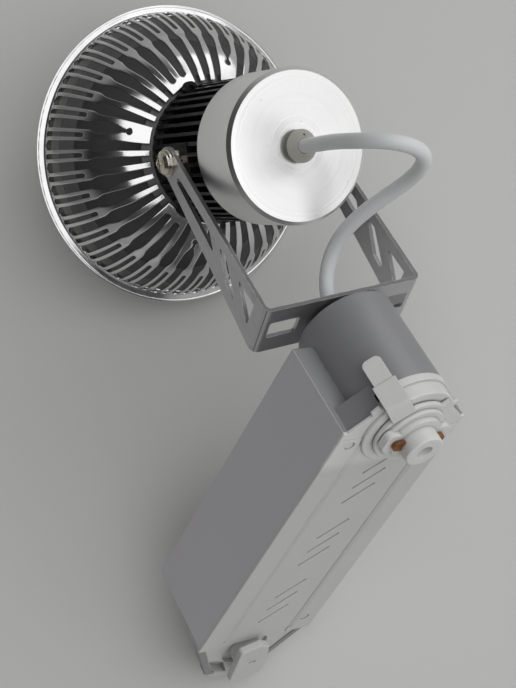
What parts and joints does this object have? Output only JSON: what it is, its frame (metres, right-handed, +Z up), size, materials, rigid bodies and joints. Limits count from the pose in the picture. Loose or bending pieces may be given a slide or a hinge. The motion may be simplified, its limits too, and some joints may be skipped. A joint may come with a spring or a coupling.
{
  "type": "track spotlight",
  "caption": "Ceiling-track spotlight: flat driver box with rotating contact head, turning sheet-metal yoke, and a finned LED lamp head in a slotted metal bell.",
  "frame": {"origin": "centre of the adapter's seating face, the face that bears on the underside of the ceiling track", "axes": "+Z up into the track, +X along the driver box towards the column that carries the yoke; the lamp head is at its rest aim, turned 10.26 degrees about +Z and pointing 45.8 degrees below horizontal, on the -X side"},
  "size_m": [0.2389, 0.1192, 0.2276],
  "materials": {
    "lavender_paint": "satin powder coat, cool grey with a lavender tint",
    "white_plastic": "moulded, slightly translucent, satin",
    "circuit_board": "solder-mask lacquer",
    "plated_steel": "zinc plated",
    "ferrite": "sintered, dull",
    "winding_tape": "polyester tape",
    "capacitor_sleeve": "shrink sleeve",
    "enamelled_copper": "enamelled winding",
    "terminal_plastic": "moulded",
    "carrier_plastic": "moulded, heat resistant",
    "spring_bronze": "rolled strip",
    "wire_sleeve": "smooth insulation",
    "spacer_metal": "turned",
    "friction_fibre": "dull fibre",
    "contact_copper": "stamped, slightly tarnished",
    "spring_steel": "oiled",
    "yoke_aluminium": "rolled and stamped sheet",
    "cable_sheath": "soft sheath, light cool grey",
    "black_anodised": "black anodised extrusion",
    "turned_aluminium": "fine circular turning marks",
    "gland_plastic": "moulded",
    "thermal_pad": "soft sheet",
    "lamp_board": "white lacquered board",
    "phosphor": "silicone with phosphor",
    "holder_plastic": "moulded",
    "polished_aluminium": "spun and polished",
    "dark_ring": "satin dark grey",
    "black_steel": "blackened",
    "mirror_coating": "vapour-coated reflector",
    "clear_glass": "tempered, clear",
    "gasket_rubber": "silicone",
    "bright_plating": "bright nickel plating"
  },
  "bodies": {
    "driver": {"driver_housing": "lavender_paint", "adapter_cover": "white_plastic", "cover_rivets": "white_plastic", "driver_board": "circuit_board", "board_screws": "plated_steel", "transformer_core": "ferrite", "transformer_winding": "winding_tape", "capacitors": "capacitor_sleeve", "input_choke": "enamelled_copper", "terminal_block": "terminal_plastic", "contact_carrier": "carrier_plastic", "contact_springs": "spring_bronze", "supply_wires": "wire_sleeve", "output_wires": "wire_sleeve", "pan_bolt": "plated_steel", "pan_lock_nut": "plated_steel", "pan_spacer": "spacer_metal", "pan_friction_washers": "friction_fibre", "pan_nut": "plated_steel"},
    "contact_head": {"contact_head": "white_plastic", "contact_blades": "contact_copper", "lock_lever": "white_plastic", "head_clip": "spring_steel"},
    "rear_lock": {"rear_lock": "white_plastic", "rear_lock_clip": "spring_steel"},
    "yoke": {"yoke_bracket": "yoke_aluminium", "power_cable": "cable_sheath"},
    "head": {"heat_sink": "black_anodised", "rear_cap": "turned_aluminium", "cable_gland": "gland_plastic", "gland_nut": "gland_plastic", "lamp_terminal": "terminal_plastic", "thermal_pad": "thermal_pad", "cob_board": "lamp_board", "cob_emitter": "phosphor", "cob_holder": "holder_plastic", "cob_screws": "plated_steel", "led_wires": "wire_sleeve", "reflector_shell": "polished_aluminium", "reflector_ring": "dark_ring", "shell_screws": "black_steel", "inner_reflector": "mirror_coating", "front_glass": "clear_glass", "glass_gasket": "gasket_rubber", "front_bezel": "polished_aluminium", "pivot_screws": "bright_plating", "pivot_washers": "bright_plating", "pivot_spacers": "bright_plating"}
  },
  "joints": [
    {"name": "contact_head_turn", "type": "hinge", "parent": "driver", "child": "contact_head", "pos_m": [0.0674, 0, 0], "axis": [0, 0, 1], "range_deg": [-90, 0]},
    {"name": "rear_lock_turn", "type": "hinge", "parent": "driver", "child": "rear_lock", "pos_m": [-0.077, 0, 0], "axis": [0, 0, 1], "range_deg": [0, 90]},
    {"name": "pan", "type": "hinge", "parent": "driver", "child": "yoke", "pos_m": [0.0674, 0, -0.05095], "axis": [0, 0, 1], "range_deg": [-185, 165]},
    {"name": "tilt", "type": "hinge", "parent": "yoke", "child": "head", "pos_m": [0.0738, 0.00116, -0.1301], "axis": [-0.1781, 0.984, 0], "range_deg": [-44.2, 45.8], "deforming": ["power_cable"]}
  ]
}
